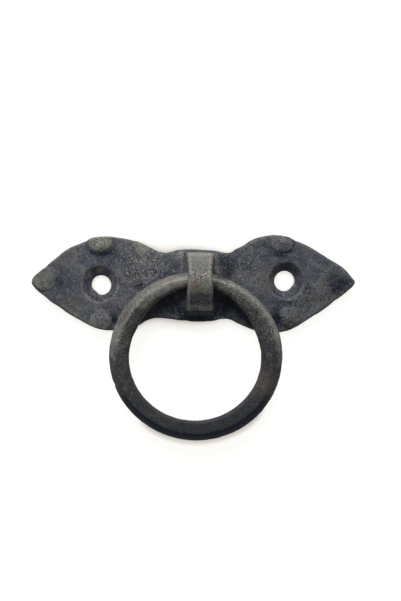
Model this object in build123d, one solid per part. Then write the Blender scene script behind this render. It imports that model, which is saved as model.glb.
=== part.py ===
from build123d import *
import math
import os

# Cabinet ring pull in blackened cast iron: a double leaf plate with an arched strap on its waist,
# and the ring that hangs in the strap. Millimetres. +X is to the viewer's right, +Z is up,
# the front faces -Y and the back of the plate lies on y = 0, against the door or drawer.
# The origin is on that back face, midway between the two screw holes.
# "Height" below always means the distance in front of the back face.

# Plate body
PLATE_THICKNESS = 2.6
FRONT_EDGE_BEVEL = 0.45
BACK_EDGE_CHAMFER = 0.2
TIP_ROUND = 0.7
TIP_STEEPNESS = 2.0

# Landmarks of the outline, as (x, z). The casting is not symmetrical, so each has its own place.
LEFT_TIP = (-40.3, 0.15)
RIGHT_TIP = (40.5, 0.1)
SHOULDER_TOP_LEFT = (-21.6, 11.4)
SHOULDER_TOP_RIGHT = (20.2, 11.75)
SHOULDER_BOTTOM_LEFT = (-20.0, -11.75)
SHOULDER_BOTTOM_RIGHT = (19.6, -12.3)
NOTCH_TOP_LEFT = (-7.25, 7.25)
NOTCH_TOP_RIGHT = (8.2, 7.3)
NOTCH_BOTTOM_LEFT = (-8.4, -8.65)
NOTCH_BOTTOM_RIGHT = (7.85, -8.8)
WAIST_TOP = (0.5, 8.15)
WAIST_BOTTOM = (1.3, -9.6)

# Where the curves between those landmarks turn, as shares of the way along x and across z
LEAF_NEAR_TIP = (0.10, 0.22)
LEAF_MIDDLE = (0.40, 0.60)
LEAF_NEAR_SHOULDER = (0.68, 0.86)
LEAF_SLIMMING_TOP_RIGHT = 0.015
LEAF_SLIMMING_BOTTOM_RIGHT = 0.035
LEAF_SLIMMING_BOTTOM_LEFT = 0.01
HOLLOW_TOP_LEFT = ((0.43, 0.21), (0.79, 0.74))
HOLLOW_TOP_RIGHT = ((0.36, 0.16), (0.80, 0.80))
HOLLOW_BOTTOM_RIGHT = ((0.41, 0.22), (0.80, 0.80))
HOLLOW_BOTTOM_LEFT = ((0.56, 0.37), (0.82, 0.87))
SWELL_TOP_LEFT = (0.30, 0.62)
SWELL_TOP_RIGHT = (0.37, 0.64)
SWELL_BOTTOM_RIGHT = (0.40, 0.54)
SWELL_BOTTOM_LEFT = (0.36, 0.40)

# Screw holes, countersunk for a No. 8 screw; the pair is drilled slightly out of level
HOLE_SPACING = 46.2
HOLE_STAGGER = 0.3
HOLE_DIAMETER = 5.0
COUNTERSINK_DIAMETER = 9.2
COUNTERSINK_ANGLE = 90.0

# Pellets cast on the leaf margins: x, z, radius and height above the plate
PELLET_TOP_LEFT = (-22.9, 10.9, 3.15, 1.0)
PELLET_TOP_RIGHT = (22.0, 10.6, 3.15, 0.9)
PELLET_LEFT_TIP = (-37.0, 0.9, 2.9, 0.55)
PELLET_BOTTOM_LEFT = (-22.6, -9.3, 2.6, 0.7)
PELLET_BOTTOM_RIGHT = (24.0, -8.5, 2.5, 0.8)
PELLET_RIM_SHARE = 0.25
PELLET_BEVEL_SHARE = 0.35

# Shallow dished spot beside the right tip: x, z, radius and depth below the plate's front
TIP_DISH = (35.3, -0.3, 2.7, 0.3)

# Low pad on the waist that carries the strap
PAD_LEFT_X = -4.3
PAD_RIGHT_X = 7.8
PAD_TOP_Z = 7.5
PAD_BOTTOM_Z = -8.9
PAD_HEIGHT = 0.25
PAD_FLANK_ANGLE = 62.0

# Strap: rooted in the pad at its foot, bent over the ring and hammered down at its upper end
STRAP_X = 1.85
STRAP_THICKNESS = 1.7
STRAP_CREST_WIDTH = 5.8
STRAP_TOP_WIDTH = 6.5
STRAP_BEND_WIDTH = 6.4
STRAP_FOOT_WIDTH = 7.9
STRAP_TOP_Z = 7.25
STRAP_BEND_Z = -6.95
STRAP_FOOT_Z = -8.3
UPPER_LEG_ANGLE = 45.0
LOWER_LEG_ANGLE = 35.0
STRAP_BEVEL = 0.55
EYE_FLANK_ANGLE = 45.0

# Ring: a bar that is thinned at the top, where it turns in the strap
RING_X = 0.65
RING_HOLE_DIAMETER = 31.4
RING_HOLE_DRAFT = 12.0
BAR_TOP_WIDTH = 3.85
BAR_SIDE_WIDTH = 5.25
BAR_BOTTOM_WIDTH = 5.35
BAR_DEPTH = 4.2
BAR_OUTER_BEVEL = 1.9
BAR_OUTER_BEVEL_DEPTH = 1.45
BAR_OUTER_EASE = 0.3
BAR_INNER_BEVEL_TOP = 1.75
BAR_INNER_BEVEL_BOTTOM = 0.25
BAR_INNER_BEVEL_SLOPE = 38.0
RING_OVAL_EASE = 0.4

# Fits between the ring and the plate; the hinge line runs along X through the strap's eye
HINGE_Z = 0.25
RING_OVER_PAD = 0.35
RING_TURN_CLEARANCE = 0.27

# How far solids reach into or past each other where they are joined or cut
EMBED = 1.0

# The bar crosses the strap as an arc, so its middle line rises over the hinge line and falls below
# it by the same half of the arc's height.
RING_HOLE_RADIUS = RING_HOLE_DIAMETER / 2
BAR_ARC_RADIUS = RING_HOLE_RADIUS + BAR_TOP_WIDTH / 2
BAR_ARC_REACH = abs(STRAP_X - RING_X) + STRAP_CREST_WIDTH / 2
BAR_ARC_HEIGHT = BAR_ARC_RADIUS - math.sqrt(BAR_ARC_RADIUS**2 - BAR_ARC_REACH**2)

PAD_TOP_HEIGHT = PLATE_THICKNESS + PAD_HEIGHT
HINGE_HEIGHT = PAD_TOP_HEIGHT + RING_OVER_PAD + BAR_DEPTH / 2
EYE_RADIUS = BAR_DEPTH / 2 + BAR_ARC_HEIGHT / 2 + RING_TURN_CLEARANCE
ARCH_RADIUS = EYE_RADIUS + STRAP_THICKNESS
RING_HOLE_Z = HINGE_Z + BAR_ARC_HEIGHT / 2 - BAR_ARC_RADIUS


def between(start, end, along, across):
    """Point part of the way from start to end: 'along' in x and 'across' in z."""
    x = start[0] + (end[0] - start[0]) * along
    z = start[1] + (end[1] - start[1]) * across
    return (x, z)


def leaf_flank(tip, shoulder, slimming=0.0):
    """Ogival side of a leaf, from its blunt tip to the level top of its shoulder."""
    outward = 1 if shoulder[0] > tip[0] else -1
    rise = 1 if shoulder[1] > tip[1] else -1
    near_tip = between(tip, shoulder, LEAF_NEAR_TIP[0], LEAF_NEAR_TIP[1] - slimming)
    middle = between(tip, shoulder, LEAF_MIDDLE[0], LEAF_MIDDLE[1] - slimming)
    near_shoulder = between(tip, shoulder, *LEAF_NEAR_SHOULDER)
    ends = [(outward, TIP_STEEPNESS * rise), (outward, 0)]
    return Spline(tip, near_tip, middle, near_shoulder, shoulder, tangents=ends)


def leaf_hollow(shoulder, notch, first, second):
    """Reversed curve from a shoulder in to the notch beside the waist, level at both ends."""
    inward = 1 if notch[0] > shoulder[0] else -1
    turn_in = between(shoulder, notch, *first)
    turn_out = between(shoulder, notch, *second)
    return Spline(shoulder, turn_in, turn_out, notch, tangents=[(inward, 0), (inward, 0)])


def waist_swell(notch, crown, turn):
    """Half of the small swelling at the middle of the waist, from a notch to its crown."""
    inward = 1 if crown[0] > notch[0] else -1
    middle = between(notch, crown, *turn)
    return Spline(notch, middle, crown, tangents=[(inward, 0), (inward, 0)])


def plate_outline():
    """Face of the plate in the X-Z plane, with its normal towards the front."""
    edges = [
        leaf_flank(LEFT_TIP, SHOULDER_TOP_LEFT),
        leaf_hollow(SHOULDER_TOP_LEFT, NOTCH_TOP_LEFT, *HOLLOW_TOP_LEFT),
        waist_swell(NOTCH_TOP_LEFT, WAIST_TOP, SWELL_TOP_LEFT),
        waist_swell(NOTCH_TOP_RIGHT, WAIST_TOP, SWELL_TOP_RIGHT),
        leaf_hollow(SHOULDER_TOP_RIGHT, NOTCH_TOP_RIGHT, *HOLLOW_TOP_RIGHT),
        leaf_flank(RIGHT_TIP, SHOULDER_TOP_RIGHT, LEAF_SLIMMING_TOP_RIGHT),
        leaf_flank(RIGHT_TIP, SHOULDER_BOTTOM_RIGHT, LEAF_SLIMMING_BOTTOM_RIGHT),
        leaf_hollow(SHOULDER_BOTTOM_RIGHT, NOTCH_BOTTOM_RIGHT, *HOLLOW_BOTTOM_RIGHT),
        waist_swell(NOTCH_BOTTOM_RIGHT, WAIST_BOTTOM, SWELL_BOTTOM_RIGHT),
        waist_swell(NOTCH_BOTTOM_LEFT, WAIST_BOTTOM, SWELL_BOTTOM_LEFT),
        leaf_hollow(SHOULDER_BOTTOM_LEFT, NOTCH_BOTTOM_LEFT, *HOLLOW_BOTTOM_LEFT),
        leaf_flank(LEFT_TIP, SHOULDER_BOTTOM_LEFT, LEAF_SLIMMING_BOTTOM_LEFT),
    ]
    face = Sketch() + make_face(edges)
    tips = [face.vertices().sort_by(Axis.X)[0], face.vertices().sort_by(Axis.X)[-1]]
    return Plane.XZ * fillet(tips, TIP_ROUND)


def turned(profile_points, x, z, height):
    """Solid turned about an axis along -Y; the profile is (radius, height above 'height')."""
    axis_plane = Plane(origin=(x, -height, z), x_dir=(1, 0, 0), z_dir=(0, 0, -1))
    profile = axis_plane * make_face(Polyline(*profile_points, close=True))
    return revolve(profile, Axis((x, -height, z), (0, -1, 0)), 360)


def screw_hole(x, z):
    """Through hole with its countersink, as the solid that is taken away."""
    hole = HOLE_DIAMETER / 2
    rim = COUNTERSINK_DIAMETER / 2
    depth = (rim - hole) / math.tan(math.radians(COUNTERSINK_ANGLE / 2))
    beyond = rim + EMBED * math.tan(math.radians(COUNTERSINK_ANGLE / 2))
    points = [
        (0, -EMBED),
        (hole, -EMBED),
        (hole, PLATE_THICKNESS - depth),
        (beyond, PLATE_THICKNESS + EMBED),
        (0, PLATE_THICKNESS + EMBED),
    ]
    return turned(points, x, z, 0)


def pellet(spec, prism):
    """Bevelled pellet with a domed top, cut off where it would pass the plate's edge."""
    x, z, radius, height = spec
    rim = height * PELLET_RIM_SHARE
    bevel = height * PELLET_BEVEL_SHARE
    dome_start = (radius - bevel, rim + bevel)
    dome_height = height - rim - bevel
    dome_radius = (dome_start[0] ** 2 + dome_height**2) / (2 * dome_height)
    half_turn = math.asin(dome_start[0] / dome_radius) / 2
    dome_middle = (
        dome_radius * math.sin(half_turn),
        height - dome_radius * (1 - math.cos(half_turn)),
    )
    base = Plane(origin=(x, -PLATE_THICKNESS, z), x_dir=(1, 0, 0), z_dir=(0, 0, -1))
    dome = ThreePointArc(dome_start, dome_middle, (0, height))
    sides = Polyline((0, height), (0, -EMBED), (radius, -EMBED), (radius, rim), dome_start)
    profile = base * make_face([dome, sides])
    return revolve(profile, Axis((x, -PLATE_THICKNESS, z), (0, -1, 0)), 360) & prism


def dish(spec):
    """Ball that sinks a shallow round spot into the plate's front, as the solid taken away."""
    x, z, radius, depth = spec
    ball_radius = (radius**2 + depth**2) / (2 * depth)
    return Pos(x, depth - PLATE_THICKNESS - ball_radius, z) * Sphere(ball_radius)


def leg_start(radius, angle, side):
    """Point (height, z) where a straight leg leaves a circle about the hinge; side is +1 for up."""
    turn = math.radians(angle)
    return (HINGE_HEIGHT + radius * math.cos(turn), HINGE_Z + side * radius * math.sin(turn))


def strap_blank():
    """Solid strap before the eye is opened: its side profile crossed with its front outline."""
    side_plane = Plane(origin=(STRAP_X, 0, 0), x_dir=(0, -1, 0), z_dir=(-1, 0, 0))
    upper = leg_start(ARCH_RADIUS, UPPER_LEG_ANGLE, 1)
    lower = leg_start(ARCH_RADIUS, LOWER_LEG_ANGLE, -1)
    crest = (HINGE_HEIGHT + ARCH_RADIUS, HINGE_Z)
    end_height = upper[0] - (STRAP_TOP_Z - upper[1]) * math.tan(math.radians(UPPER_LEG_ANGLE))
    bend_height = lower[0] - (lower[1] - STRAP_BEND_Z) * math.tan(math.radians(LOWER_LEG_ANGLE))
    root_height = PLATE_THICKNESS - EMBED
    side = make_face([
        Polyline((root_height, STRAP_TOP_Z), (end_height, STRAP_TOP_Z), upper),
        ThreePointArc(upper, crest, lower),
        Polyline(
            lower,
            (bend_height, STRAP_BEND_Z),
            (PAD_TOP_HEIGHT, STRAP_FOOT_Z),
            (root_height, STRAP_FOOT_Z),
            (root_height, STRAP_TOP_Z),
        ),
    ])
    slab = extrude(side_plane * side, STRAP_FOOT_WIDTH, both=True)

    def flank(direction):
        top = (direction * STRAP_TOP_WIDTH / 2, STRAP_TOP_Z)
        waist = (direction * STRAP_CREST_WIDTH / 2, HINGE_Z)
        bend = (direction * STRAP_BEND_WIDTH / 2, STRAP_BEND_Z)
        foot = (direction * STRAP_FOOT_WIDTH / 2, STRAP_FOOT_Z)
        return [ThreePointArc(top, waist, bend), Line(bend, foot)]

    ends = [
        Line((-STRAP_TOP_WIDTH / 2, STRAP_TOP_Z), (STRAP_TOP_WIDTH / 2, STRAP_TOP_Z)),
        Line((-STRAP_FOOT_WIDTH / 2, STRAP_FOOT_Z), (STRAP_FOOT_WIDTH / 2, STRAP_FOOT_Z)),
    ]
    front = make_face(flank(1) + flank(-1) + ends)
    front_plane = Plane(origin=(STRAP_X, 0, 0), x_dir=(1, 0, 0), z_dir=(0, -1, 0))
    blank = slab & extrude(front_plane * front, HINGE_HEIGHT + ARCH_RADIUS + EMBED)

    def on_bevelled_corner(edge):
        middle = edge.position_at(0.5)
        proud = -middle.Y > PAD_TOP_HEIGHT + STRAP_BEVEL
        at_side = abs(middle.X - STRAP_X) > STRAP_CREST_WIDTH / 4
        at_top_end = middle.Z > STRAP_TOP_Z - 0.01 and abs(edge.tangent_at(0.5).X) > 0.9
        upright = abs(edge.tangent_at(0.5).Y) > 0.99
        return proud and (at_side or at_top_end) and not upright

    return chamfer(blank.edges().filter_by(on_bevelled_corner), STRAP_BEVEL)


def strap_eye():
    """Space under the strap that the ring passes through: round above, spreading to the pad."""
    side_plane = Plane(origin=(STRAP_X, 0, 0), x_dir=(0, -1, 0), z_dir=(-1, 0, 0))
    upper = leg_start(EYE_RADIUS, EYE_FLANK_ANGLE, 1)
    lower = leg_start(EYE_RADIUS, EYE_FLANK_ANGLE, -1)
    crown = (HINGE_HEIGHT + EYE_RADIUS, HINGE_Z)
    spread = (upper[0] - PAD_TOP_HEIGHT) / math.tan(math.radians(EYE_FLANK_ANGLE))
    upper_root = (PAD_TOP_HEIGHT, upper[1] + spread)
    lower_root = (PAD_TOP_HEIGHT, lower[1] - spread)
    face = make_face([
        ThreePointArc(upper, crown, lower),
        Polyline(lower, lower_root, upper_root, upper),
    ])
    return extrude(side_plane * face, STRAP_FOOT_WIDTH, both=True)


def back_plate():
    """Plate, pad, pellets and strap: one casting."""
    outline = plate_outline()
    plate = extrude(outline, PLATE_THICKNESS)
    front = plate.faces().sort_by(Axis.Y)[0]
    plate = chamfer(front.edges(), FRONT_EDGE_BEVEL)
    back = plate.faces().sort_by(Axis.Y)[-1]
    plate = chamfer(back.edges(), BACK_EDGE_CHAMFER)

    pad_width = PAD_RIGHT_X - PAD_LEFT_X
    pad_length = PAD_TOP_Z - PAD_BOTTOM_Z
    pad_plane = Plane(
        origin=((PAD_LEFT_X + PAD_RIGHT_X) / 2, -PLATE_THICKNESS, (PAD_TOP_Z + PAD_BOTTOM_Z) / 2),
        x_dir=(1, 0, 0),
        z_dir=(0, -1, 0),
    )
    pad = extrude(pad_plane * Rectangle(pad_width, pad_length), PAD_HEIGHT, taper=PAD_FLANK_ANGLE)
    plate += pad

    prism = extrude(outline, PLATE_THICKNESS + EMBED)
    prism -= Box(2 * RIGHT_TIP[0] + EMBED, 2 * BACK_EDGE_CHAMFER, 4 * SHOULDER_TOP_RIGHT[1])
    for spec in (
        PELLET_TOP_LEFT,
        PELLET_TOP_RIGHT,
        PELLET_LEFT_TIP,
        PELLET_BOTTOM_LEFT,
        PELLET_BOTTOM_RIGHT,
    ):
        plate += pellet(spec, prism)

    plate -= dish(TIP_DISH)
    plate += strap_blank()
    plate -= strap_eye()
    for side in (-1, 1):
        plate -= screw_hole(side * HOLE_SPACING / 2, side * HOLE_STAGGER)
    return plate


def oval(half_width, half_height):
    """Face of a near-round oval drawn with four tangent arcs, wider than it is high."""
    side_radius = half_height - RING_OVAL_EASE
    cap_radius = (
        half_width**2 + half_height**2 - 2 * half_width * side_radius
    ) / (2 * (half_height - side_radius))
    side_centre = half_width - side_radius
    cap_centre = cap_radius - half_height
    reach = math.hypot(side_centre, cap_centre)
    join_x = side_centre + side_radius * side_centre / reach
    join_z = side_radius * cap_centre / reach
    corners = {
        (side, end): (side * join_x, end * join_z) for side in (-1, 1) for end in (-1, 1)
    }
    arcs = []
    for side in (-1, 1):
        arcs.append(
            ThreePointArc(corners[side, -1], (side * half_width, 0), corners[side, 1])
        )
        arcs.append(
            ThreePointArc(corners[-1, side], (0, side * half_height), corners[1, side])
        )
    return make_face(arcs)


def ring_hole():
    """Cone of the ring's hole, narrowest at the front, as the solid that is taken away."""
    draft = math.tan(math.radians(RING_HOLE_DRAFT))
    points = [
        (0, -EMBED),
        (RING_HOLE_RADIUS + (BAR_DEPTH + EMBED) * draft, -EMBED),
        (RING_HOLE_RADIUS - EMBED * draft, BAR_DEPTH + EMBED),
        (0, BAR_DEPTH + EMBED),
    ]
    return turned(points, RING_X, RING_HOLE_Z, HINGE_HEIGHT - BAR_DEPTH / 2)


def inner_bevel():
    """Cone that bevels the rim of the ring's hole, as the solid that is taken away.

    It is set above the hole's centre, so the bevel is wide at the top and fades to the bottom.
    """
    rise = (BAR_INNER_BEVEL_TOP - BAR_INNER_BEVEL_BOTTOM) / 2
    rim = RING_HOLE_RADIUS + (BAR_INNER_BEVEL_TOP + BAR_INNER_BEVEL_BOTTOM) / 2
    slope = math.tan(math.radians(BAR_INNER_BEVEL_SLOPE))
    depth = (rise + rim - RING_HOLE_RADIUS + EMBED) * slope
    points = [
        (0, -depth),
        (rim - depth / slope, -depth),
        (rim + EMBED / slope, EMBED),
        (0, EMBED),
    ]
    return turned(points, RING_X, RING_HOLE_Z + rise, HINGE_HEIGHT + BAR_DEPTH / 2)


def ring():
    """Bar bent to a ring: an oval outside and a drafted hole, bevelled at its four corners."""
    half_width = RING_HOLE_RADIUS + BAR_SIDE_WIDTH
    half_height = RING_HOLE_RADIUS + (BAR_TOP_WIDTH + BAR_BOTTOM_WIDTH) / 2
    drop = (BAR_BOTTOM_WIDTH - BAR_TOP_WIDTH) / 2
    back_height = HINGE_HEIGHT - BAR_DEPTH / 2
    plane = Plane(origin=(RING_X, -back_height, RING_HOLE_Z), x_dir=(1, 0, 0), z_dir=(0, -1, 0))
    disc = extrude(plane * (Pos(0, -drop) * oval(half_width, half_height)), BAR_DEPTH)
    for end in (0, -1):
        face = disc.faces().sort_by(Axis.Y)[end]
        disc = chamfer(face.edges(), BAR_OUTER_BEVEL, BAR_OUTER_BEVEL_DEPTH, reference=face)
    wall_height = BAR_DEPTH / 2 - BAR_OUTER_BEVEL_DEPTH
    rims = disc.edges().filter_by(
        lambda edge: abs(abs(edge.center().Y + HINGE_HEIGHT) - wall_height) < wall_height / 2
    ).filter_by(GeomType.CIRCLE)
    disc = chamfer(rims, BAR_OUTER_EASE)

    middle = Plane(origin=(0, -HINGE_HEIGHT, 0), z_dir=(0, -1, 0))
    return disc - ring_hole() - inner_bevel() - mirror(inner_bevel(), about=middle)


def main():
    os.makedirs("parts", exist_ok=True)
    nodes = {"back_plate": back_plate(), "ring": ring()}
    for name, solid in nodes.items():
        export_step(solid, os.path.join("parts", name + ".step"))
    crest_height = HINGE_HEIGHT + ARCH_RADIUS
    print("hinge height", round(HINGE_HEIGHT, 3), "crest height", round(crest_height, 3))
    print("ring hole centre z", round(RING_HOLE_Z, 3))


main()
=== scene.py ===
import math

import bmesh
import bpy
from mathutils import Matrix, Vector, noise


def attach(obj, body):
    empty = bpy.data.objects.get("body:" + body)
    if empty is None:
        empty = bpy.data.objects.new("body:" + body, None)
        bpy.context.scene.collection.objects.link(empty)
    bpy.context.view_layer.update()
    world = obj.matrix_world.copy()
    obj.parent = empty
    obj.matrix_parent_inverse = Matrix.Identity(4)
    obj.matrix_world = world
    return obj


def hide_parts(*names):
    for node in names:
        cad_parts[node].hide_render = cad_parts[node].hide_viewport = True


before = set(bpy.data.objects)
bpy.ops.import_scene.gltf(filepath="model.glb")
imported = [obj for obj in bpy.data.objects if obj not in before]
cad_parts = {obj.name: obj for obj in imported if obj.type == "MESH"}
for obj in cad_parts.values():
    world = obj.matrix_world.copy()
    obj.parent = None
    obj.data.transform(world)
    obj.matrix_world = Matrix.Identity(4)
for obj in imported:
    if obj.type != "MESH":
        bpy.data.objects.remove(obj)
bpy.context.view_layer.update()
scene = bpy.context.scene
scene.view_settings.view_transform = "Standard"
MM = 0.001


# The view: the pull is seen from straight in front, a little right of its middle and below it.
# The camera is close, so the ring, which stands proud, looks larger than the plate behind it.
CAMERA_PLACE = (1.9 * MM, -115.5 * MM, -4.37 * MM)
LENS = 27.22
NEAREST_SEEN = 5 * MM

camera = bpy.data.objects.new("camera", bpy.data.cameras.new("camera"))
camera.location = CAMERA_PLACE
camera.rotation_euler = (math.pi / 2, 0, 0)
camera.data.lens = LENS
camera.data.clip_start = NEAREST_SEEN
scene.collection.objects.link(camera)
scene.camera = camera


# The board: a sheet of white card that the pull lies on. It is white to the camera where no
# shadow falls, keeps the soft shadows, and isn't there from behind or to the light.
BOARD_GAP = 0.4 * MM
BOARD_HALF_SIZE = 0.6
BOARD_PAINT = (0.13, 0.13, 0.13, 1)
BOARD_GLOW = (0.955, 0.945, 0.92, 1)
BOARD_SHADE = (0.52, 0.48, 0.42, 1)

# Shade on the card, by how far the iron closes it in: close to all edges, and wider round the
# waist. Its place lies behind the card, so it thins out slowly round the waist's middle.
CONTACT_REACH = 1.4 * MM
CONTACT_SHADE = 0.9
WAIST_REACH = 4.2 * MM
WAIST_SHADE = 5.5
WAIST_PLACE = (-4.0 * MM, 13.0 * MM, 0)
WAIST_SIZE = 24 * MM

# Thin shade on the card below the hanging ring's lower rim. It keeps near the rim's lowest point,
# and grows steeply as the rim closes the card in. It begins behind the bar, by the distance from
# the ring's middle, so none shows inside the ring from the front.
RIM_REACH = 6.2 * MM
RIM_RAYS = 24
RIM_SHADE = 10.0
RIM_STEEPNESS = 3.0
RIM_PLACE = (2.5 * MM, 0, -38.0 * MM)
RIM_SIZE = 18 * MM
RIM_FADE = 8 * MM
RING_PLACE = (0.6 * MM, 0, -17.8 * MM)
BEHIND_THE_RING = 17.8 * MM
OUTSIDE_THE_RING = 20.2 * MM


class Field:
    """A value that changes over a surface: one socket of a finish. Arithmetic adds Math nodes."""

    def __init__(self, finish, socket):
        self.finish = finish
        self.socket = socket

    def math(self, operation, first, second):
        return self.finish.node("ShaderNodeMath", {"operation": operation}, {0: first, 1: second})

    def __add__(self, other):
        return self.math("ADD", self, other)

    def __sub__(self, other):
        return self.math("SUBTRACT", self, other)

    def __rsub__(self, other):
        return self.math("SUBTRACT", other, self)

    def __mul__(self, other):
        return self.math("MULTIPLY", self, other)

    def __pow__(self, other):
        return self.math("POWER", self, other)

    __radd__ = __add__
    __rmul__ = __mul__

    def rise(self, low, high):
        """Goes smoothly from 0 to 1 as this value goes from low to high."""
        limits = {"Value": self, "From Min": low, "From Max": high}
        return self.finish.node("ShaderNodeMapRange", {"interpolation_type": "SMOOTHSTEP"}, limits)


class Finish:
    """The node tree of a material or of the world, with the few calls that its makers need."""

    def __init__(self, owner):
        owner.use_nodes = True
        self.owner = owner
        self.tree = owner.node_tree
        self.tree.nodes.clear()

    def plug(self, socket, value):
        """Links a Field to a socket, or sets the socket's own value."""
        if isinstance(value, Field):
            self.tree.links.new(value.socket, socket)
        else:
            socket.default_value = value

    def node(self, kind, settings=None, inputs=None, output=0):
        """A new node, with its settings made before its inputs are plugged in."""
        made = self.tree.nodes.new(kind)
        for name, value in (settings or {}).items():
            setattr(made, name, value)
        for name, value in (inputs or {}).items():
            self.plug(made.inputs[name], value)
        return Field(self, made.outputs[output]) if made.outputs else None

    def mix(self, factor, first, second):
        """Colour that goes from first to second as factor goes from 0 to 1."""
        settings = {"data_type": "RGBA"}
        return self.node("ShaderNodeMix", settings, {0: factor, 6: first, 7: second}, 2)


def shown_white(finish):
    """1 for what the camera sees, straight or in a reflection or through glass, and 0 for light."""
    seen = finish.node("ShaderNodeLightPath", output="Is Camera Ray")
    mirrored = finish.node("ShaderNodeLightPath", output="Is Glossy Ray")
    through = finish.node("ShaderNodeLightPath", output="Is Transmission Ray")
    return seen + mirrored + through


board_mesh = bpy.data.meshes.new("board")
shape = bmesh.new()
bmesh.ops.create_grid(shape, x_segments=1, y_segments=1, size=BOARD_HALF_SIZE)
bmesh.ops.rotate(shape, verts=shape.verts, matrix=camera.rotation_euler.to_matrix())
bmesh.ops.translate(shape, verts=shape.verts, vec=(0, BOARD_GAP, 0))
shape.to_mesh(board_mesh)
shape.free()
board = bpy.data.objects.new("board", board_mesh)
scene.collection.objects.link(board)
board.visible_shadow = False
board.visible_diffuse = False

card = Finish(bpy.data.materials.new("white_card"))
place = card.node("ShaderNodeTexCoord", output="Object")


def closed_in(reach, rays=16):
    """How much of the card's outlook is taken up by iron within that reach, from 0 to 1."""
    settings = {"samples": rays}
    return 1 - card.node("ShaderNodeAmbientOcclusion", settings, {"Distance": reach}, "AO")


def distance_from(point):
    """Distance of a place on the card from that point."""
    settings = {"operation": "DISTANCE"}
    return card.node("ShaderNodeVectorMath", settings, {0: place, 1: point}, "Value")


near_waist = (WAIST_SIZE - distance_from(WAIST_PLACE)).rise(0.0, WAIST_SIZE)
near_rim = (RIM_SIZE - distance_from(RIM_PLACE)).rise(0.0, RIM_FADE)
outside = distance_from(RING_PLACE).rise(BEHIND_THE_RING, OUTSIDE_THE_RING)
contact = closed_in(CONTACT_REACH) * CONTACT_SHADE
waist = closed_in(WAIST_REACH) * near_waist * WAIST_SHADE
rim = (closed_in(RIM_REACH, RIM_RAYS) * RIM_SHADE) ** RIM_STEEPNESS * (near_rim * outside)
shaded = card.mix(contact + waist + rim, BOARD_GLOW, BOARD_SHADE)
paper = card.node("ShaderNodeBsdfDiffuse", inputs={"Color": BOARD_PAINT})
glow = card.node("ShaderNodeEmission", inputs={"Color": shaded, "Strength": shown_white(card)})
front = card.node("ShaderNodeAddShader", inputs={0: paper, 1: glow})
behind = card.node("ShaderNodeNewGeometry", output="Backfacing")
clear = card.node("ShaderNodeBsdfTransparent")
whole = card.node("ShaderNodeMixShader", inputs={0: behind, 1: front, 2: clear})
card.node("ShaderNodeOutputMaterial", inputs={"Surface": whole})
board_mesh.materials.append(card.owner)


# The light: one broad soft lamp above and in front, as from a window over the top of the picture.
# The pale room round it is brightest above and behind, and dimmest in front and below.
LAMP_PLACE = Vector((-0.04, -0.27, 0.29))
LAMP_AIM = Vector((0, 0, -8 * MM))
LAMP_SIZE = 0.16
LAMP_WATTS = 1.9
ROOM_FRONT = 0.07
ROOM_ABOVE = 0.75
ROOM_LEFT = 0.4
ROOM_RIGHT = 0.25
ROOM_BEHIND = 0.5
ROOM_SIDES_FROM = 0.3
ROOM_BEHIND_FULL = 0.7
ROOM_COLOUR = (0.9, 0.97, 1.1, 1)
LAMP_COLOUR = (1.0, 0.985, 0.955)

lamp = bpy.data.objects.new("window", bpy.data.lights.new("window", "AREA"))
lamp.data.size = LAMP_SIZE
lamp.data.energy = LAMP_WATTS
lamp.data.color = LAMP_COLOUR
lamp.location = LAMP_PLACE
lamp.rotation_euler = (LAMP_AIM - LAMP_PLACE).to_track_quat("-Z", "Y").to_euler()
scene.collection.objects.link(lamp)

scene.world = bpy.data.worlds.new("room")
room = Finish(scene.world)
towards = room.node("ShaderNodeTexCoord", output="Generated")
right, back, up = (
    room.node("ShaderNodeSeparateXYZ", inputs={"Vector": towards}, output=axis) for axis in "XYZ"
)
strength = (
    ROOM_FRONT
    + ROOM_ABOVE * up.rise(0.0, 1.0)
    + ROOM_RIGHT * right.rise(ROOM_SIDES_FROM, 1.0)
    + ROOM_LEFT * (right * -1).rise(ROOM_SIDES_FROM, 1.0)
    + ROOM_BEHIND * back.rise(0.0, ROOM_BEHIND_FULL)
)
dim = room.node("ShaderNodeBackground", inputs={"Color": ROOM_COLOUR, "Strength": strength})
white = room.node("ShaderNodeBackground", inputs={"Color": (1, 1, 1, 1), "Strength": 1.0})
around = room.node("ShaderNodeMixShader", inputs={0: shown_white(room), 1: dim, 2: white})
room.node("ShaderNodeOutputWorld", inputs={"Surface": around})


# The back plate: one iron casting with its leaves, pellets, pad and strap, blackened all over and
# rubbed paler where it stands proud. Its skin is the mould's: dented, grainy and soft at its edges.
# Its colour also holds painted shade under the ring, the strap and the pellets, and painted light
# in the countersinks and beside the strap.
SKIN_GRID = 0.22 * MM
JOINED_WITHIN = 0.001 * MM
FRONT_SKIN = 2 * MM
BACK_KEPT_FLAT = 0.5 * MM
PLATE_SWELL = 0.12 * MM

# The skin's unevenness: how far its edges wander sideways, its dents and its grain. Sides get
# fewer dents than the front.
WANDER_SIZE = 3.0 * MM
WANDER = 0.11 * MM
WANDER_APART = Vector((1, 0, 1))
DENT_SIZE = 2.2 * MM
DENT_DEPTH = 0.08 * MM
GRAIN_SIZE = 0.8 * MM
GRAIN_DEPTH = 0.05 * MM
SIDE_DENTS = 0.45

# How far a point stands over its neighbours where an edge is fully rubbed
EDGE_REACH = 0.03 * MM

# Heights in millimetres over the back at which marks on the front begin and are full, and at
# which the plate ends and the strap begins
MARKS_BEGIN = 0.3
MARKS_FULL = 1.2
PLATE_ENDS = 2.8
STRAP_BEGINS = 3.4
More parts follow.
